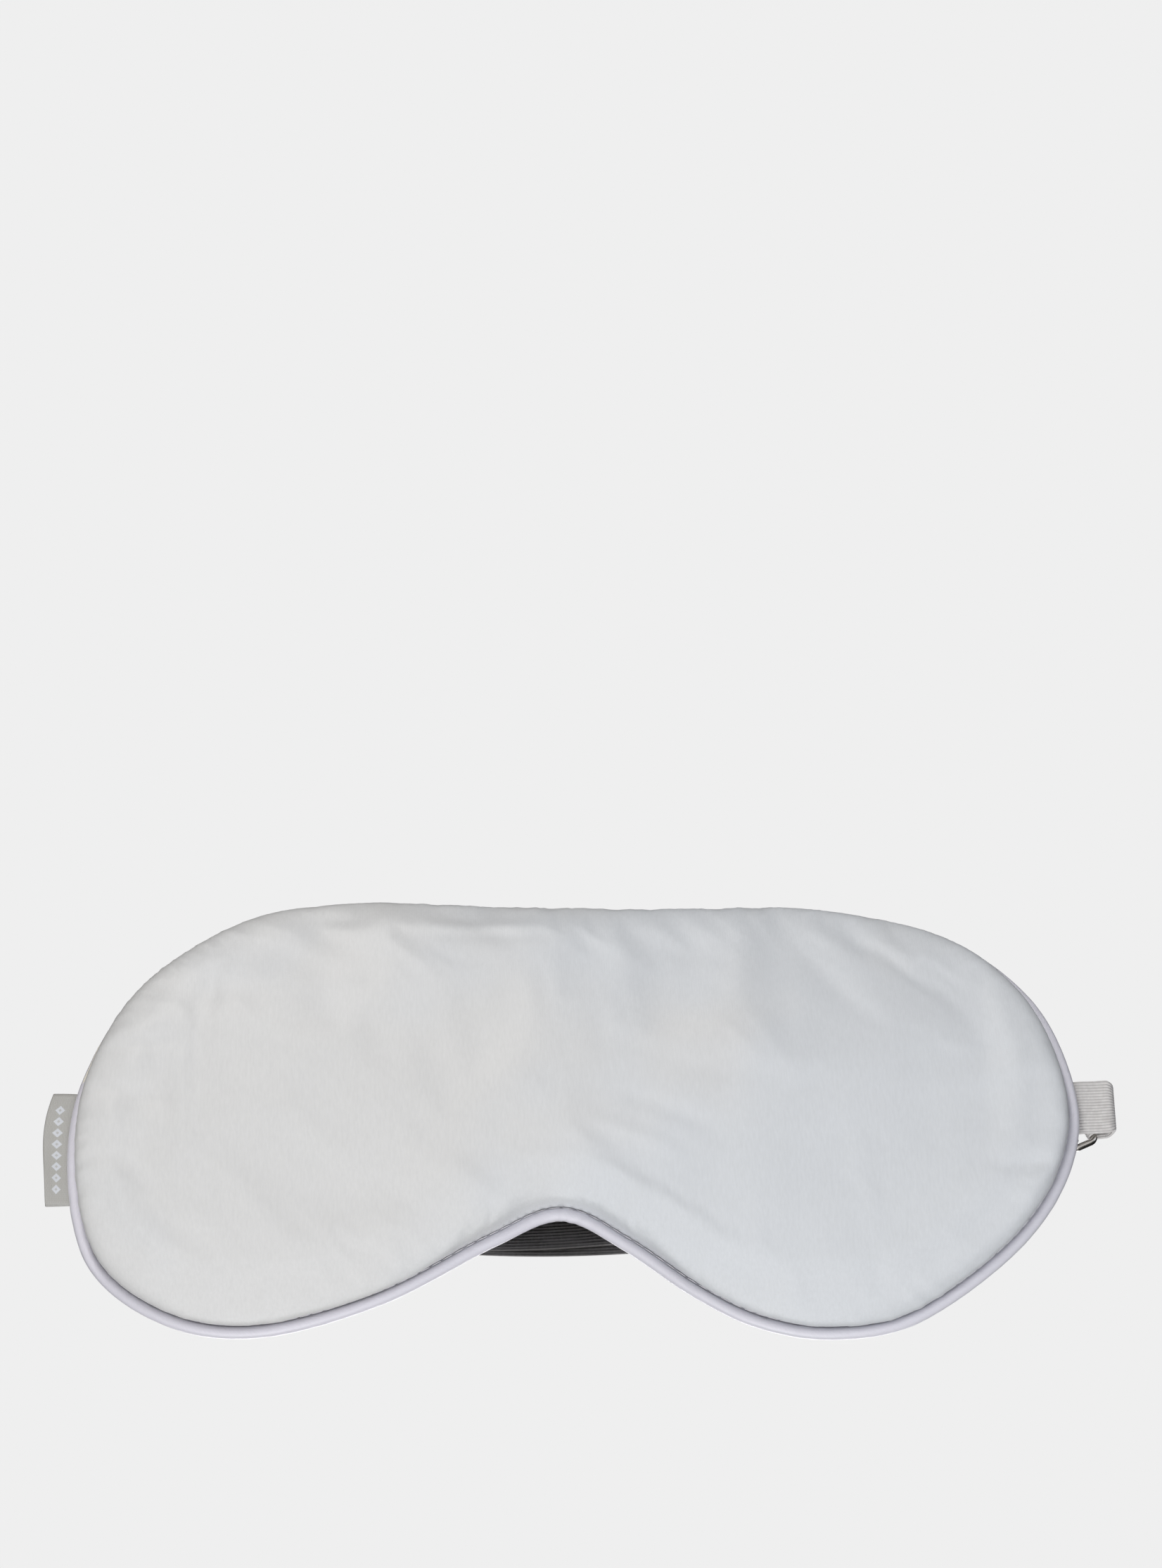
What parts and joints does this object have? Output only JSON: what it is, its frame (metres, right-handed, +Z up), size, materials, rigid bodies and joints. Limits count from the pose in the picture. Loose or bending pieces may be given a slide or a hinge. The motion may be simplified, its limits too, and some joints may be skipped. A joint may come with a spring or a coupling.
{
  "type": "sleep eye mask",
  "caption": "Padded satin sleep mask with corded piping, a nose notch, a folded side label and an adjustable elastic head strap tucked underneath.",
  "frame": {"origin": "on the table, under the middle of the whole part as it lies face up with its strap tucked underneath", "axes": "+X across the eyes towards the folded tab, +Y towards the forehead edge, +Z up, out of the front of the mask"},
  "size_m": [0.223, 0.1006, 0.0163],
  "materials": {
    "satin": "silver-grey polyester satin with a soft sheen",
    "lining_satin": "charcoal satin lining",
    "piping_satin": "bias-cut satin, slightly lilac",
    "polyester_wadding": "lofted polyester wadding",
    "blackout_cloth": "dense black interlining",
    "cotton_cord": "soft cotton piping cord",
    "woven_label": "folded damask label tape, grey",
    "ribbed_elastic": "grey ribbed elastic webbing",
    "plated_wire": "nickel-plated steel wire",
    "sewing_thread": "grey polyester thread"
  },
  "bodies": {
    "mask": {"front_panel": "satin", "wadding": "polyester_wadding", "blackout_layer": "blackout_cloth", "back_lining": "lining_satin", "piping_cover": "piping_satin", "piping_cord": "cotton_cord", "label_sewn_edge": "woven_label", "strap_sewn_end": "ribbed_elastic", "tab_sewn_end": "ribbed_elastic"},
    "label": {"side_label": "woven_label"},
    "lead": {"strap_lead": "ribbed_elastic"},
    "strap": {"strap_run": "ribbed_elastic", "strap_ring_loop": "ribbed_elastic", "strap_return": "ribbed_elastic", "tab_fold": "ribbed_elastic", "tab_ring_loop": "ribbed_elastic", "ring_bartack": "sewing_thread"},
    "tab": {"tab_top": "ribbed_elastic"},
    "ring": {"ring": "plated_wire"},
    "slider": {"slider": "plated_wire", "strap_end_loop": "ribbed_elastic", "slider_bartack": "sewing_thread"}
  },
  "joints": [
    {"name": "label_bend", "type": "hinge", "parent": "mask", "child": "label", "pos_m": [-0.106, -0.0092, 0.0044], "axis": [0, 0.9984, 0.0558], "range_deg": [-60, 60], "stiffness_Nm_per_rad": 0.0004},
    {"name": "strap_pull_off", "type": "hinge", "parent": "mask", "child": "lead", "pos_m": [-0.1038, -0.0156, 0.0031], "axis": [0, 1, 0], "range_deg": [0, 70]},
    {"name": "strap_keeps_level", "type": "hinge", "parent": "lead", "child": "strap", "pos_m": [-0.0953, -0.0156, 0.0003], "axis": [0, 1, 0], "range_deg": [-70, 0]},
    {"name": "tab_unfold", "type": "hinge", "parent": "strap", "child": "tab", "pos_m": [0.1095, 0, 0.0016], "axis": [0, 1, 0], "range_deg": [0, 70], "deforming": ["tab_fold"]},
    {"name": "ring_swivel", "type": "hinge", "parent": "strap", "child": "ring", "pos_m": [0.10425, 0.00082, 0.00155], "axis": [-0.4226, 0.9063, 0], "range_deg": [0, 6]},
    {"name": "slider_travel", "type": "hinge", "parent": "strap", "child": "slider", "pos_m": [-0.0085, 0.2296, 0.0024], "axis": [0, 0, 1], "range_deg": [0, 15], "deforming": ["strap_return"]}
  ],
  "couplings": [
    {"joint": "strap_keeps_level", "follows": "strap_pull_off", "ratio": -1},
    {"joint": "tab_unfold", "follows": "strap_pull_off", "ratio": 1}
  ]
}
